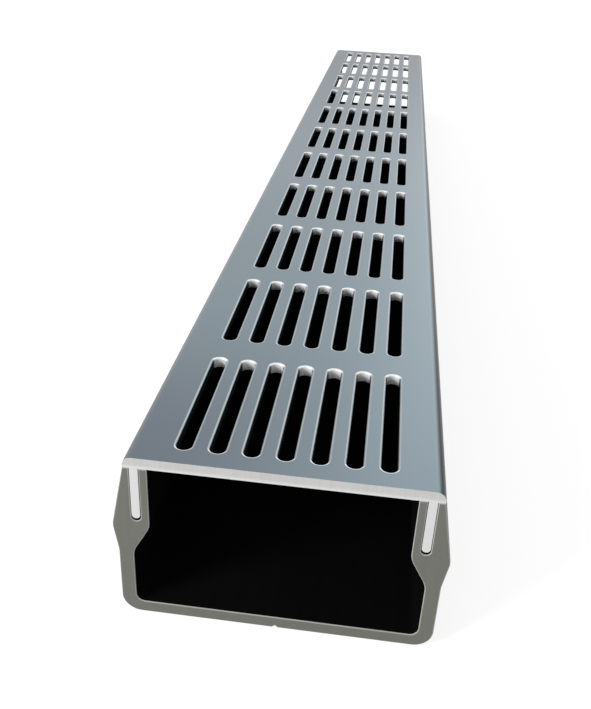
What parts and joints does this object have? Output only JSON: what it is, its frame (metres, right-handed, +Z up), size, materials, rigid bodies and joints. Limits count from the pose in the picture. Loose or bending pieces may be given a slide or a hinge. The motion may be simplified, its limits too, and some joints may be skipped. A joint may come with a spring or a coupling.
{
  "type": "channel drain",
  "caption": "Linear channel drain: a U-shaped trough with forked wall tops, closed by a slotted cover whose two legs drop into the forks.",
  "frame": {"origin": "middle of the underside", "axes": "+X across the drain, +Y along it away from the cut end that the picture shows, +Z up through the cover"},
  "size_m": [0.1302, 1, 0.077],
  "materials": {
    "channel_body": "matt rigid plastic, near black skin with warm grey sawn ends",
    "slotted_grate": "satin anodised, cool blue grey, bright sawn ends"
  },
  "bodies": {
    "root": {"channel_body": "channel_body", "slotted_grate": "slotted_grate"}
  },
  "joints": []
}
